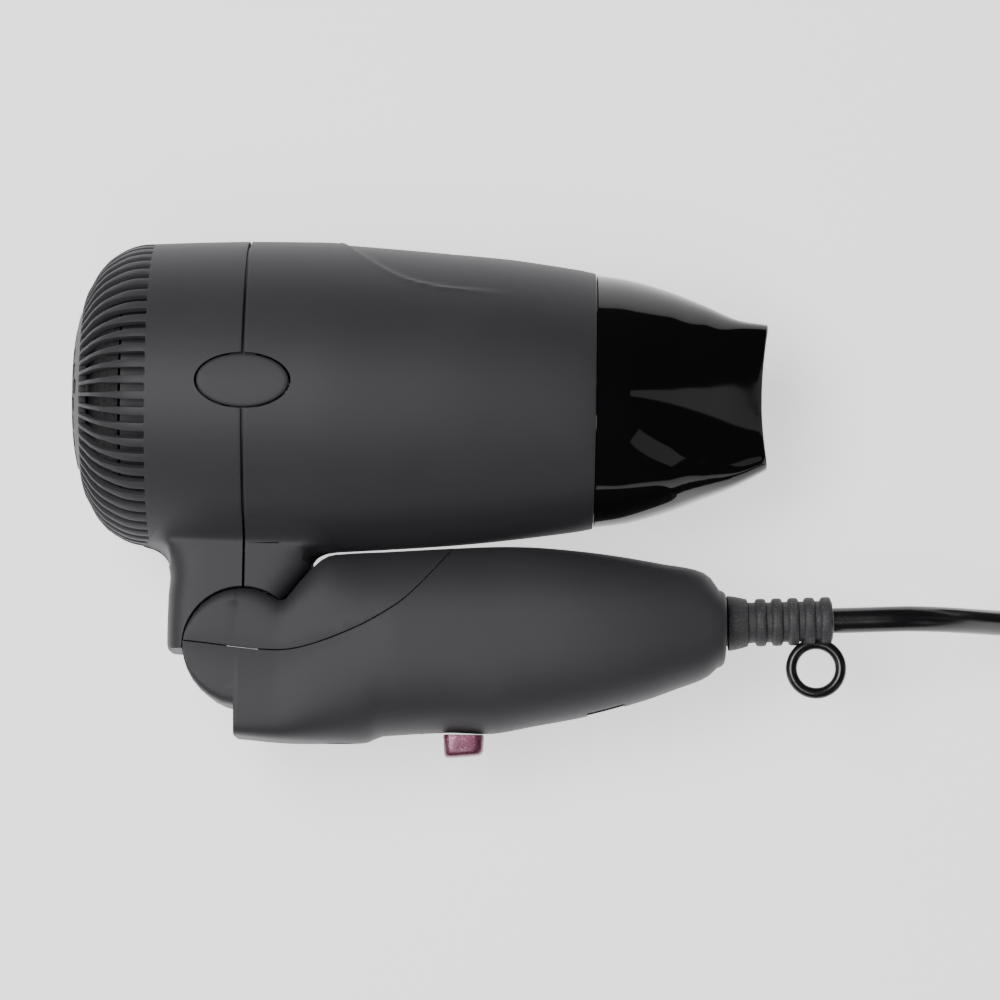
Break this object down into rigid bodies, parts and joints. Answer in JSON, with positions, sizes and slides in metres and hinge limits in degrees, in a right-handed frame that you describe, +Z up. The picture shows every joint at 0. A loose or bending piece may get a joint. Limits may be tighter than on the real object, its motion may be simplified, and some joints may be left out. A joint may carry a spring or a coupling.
{
  "type": "travel hair dryer",
  "caption": "Folding travel hair dryer with a finned rear grille, a flattened nozzle, a hinged handle and a mains cord wound in a tied coil.",
  "frame": {"origin": "centre of the folded dryer's footprint without its cord, on the surface it lies on", "axes": "+X along the barrel towards the nozzle, +Y away from the handle, +Z up, along the hinge"},
  "size_m": [0.3294, 0.1186, 0.0718],
  "materials": {
    "charcoal_shell": "soft-touch matt charcoal",
    "nozzle_black": "polished black",
    "violet_knob": "metallic violet",
    "dark_plastic": "moulded black",
    "boot_rubber": "matt black rubber",
    "cord_pvc": "glossy black flexible PVC",
    "steel": "plated steel",
    "brass": "plated brass",
    "mica": "pressed mica board",
    "heating_wire": "resistance wire",
    "circuit_board": "coated circuit board",
    "lead_wire": "silicone sleeve"
  },
  "bodies": {
    "handle": {"handle_shell": "charcoal_shell", "handle_cover": "charcoal_shell", "hinge_pin": "steel", "spring_washer": "steel", "cover_screw": "steel", "switch_body": "dark_plastic", "switch_terminal_a": "brass", "switch_terminal_b": "brass", "switch_terminal_c": "brass", "capacitor": "dark_plastic", "selector_body": "dark_plastic", "cord_boot": "boot_rubber", "cord_clamp": "dark_plastic", "clamp_screw_left": "steel", "clamp_screw_right": "steel", "cord_inner": "cord_pvc", "lead_supply_a": "lead_wire", "lead_supply_b": "lead_wire", "lead_hinge_a": "lead_wire", "lead_hinge_b": "lead_wire", "cord": "cord_pvc", "cord_coil": "cord_pvc", "cord_tie": "boot_rubber", "plug_body": "cord_pvc", "plug_pin_a": "brass", "plug_pin_b": "brass", "cord_tail": "cord_pvc"},
    "barrel": {"rear_housing": "charcoal_shell", "front_housing": "charcoal_shell", "intake_screen": "charcoal_shell", "dust_filter": "dark_plastic", "side_cap_left": "charcoal_shell", "side_cap_right": "charcoal_shell", "outlet_grille": "dark_plastic", "fan_shroud": "charcoal_shell", "motor": "steel", "rectifier_board": "circuit_board", "heater_board_a": "mica", "heater_board_b": "mica", "heating_coil_rear": "heating_wire", "heating_coil_front": "heating_wire", "mica_liner": "mica", "thermostat": "steel", "thermal_fuse": "steel", "hinge_tongue": "dark_plastic", "lead_heater": "lead_wire", "lead_motor": "lead_wire"},
    "fan": {"impeller": "dark_plastic", "motor_shaft": "steel"},
    "nozzle": {"nozzle": "nozzle_black"},
    "switch": {"switch_knob": "violet_knob", "switch_carriage": "dark_plastic"},
    "selector": {"selector_dial": "dark_plastic"}
  },
  "joints": [
    {"name": "barrel_fold", "type": "hinge", "parent": "handle", "child": "barrel", "pos_m": [-0.04915, -0.0354, 0.0359], "axis": [0, 0, 1], "range_deg": [0, 80]},
    {"name": "fan_spin", "type": "hinge", "parent": "barrel", "child": "fan", "pos_m": [-0.04915, 0.0234, 0.0359], "axis": [1, 0, 0], "continuous": true},
    {"name": "nozzle_turn", "type": "hinge", "parent": "barrel", "child": "nozzle", "pos_m": [0.03105, 0.0234, 0.0359], "axis": [1, 0, 0], "continuous": true},
    {"name": "switch_slide", "type": "slide", "parent": "handle", "child": "switch", "axis": [-1, 0, 0], "range_m": [0, 0.008]},
    {"name": "voltage_selector", "type": "hinge", "parent": "handle", "child": "selector", "pos_m": [0.03405, -0.0475, 0.0359], "axis": [0.2476, -0.9688, 0], "range_deg": [0, 90]}
  ]
}
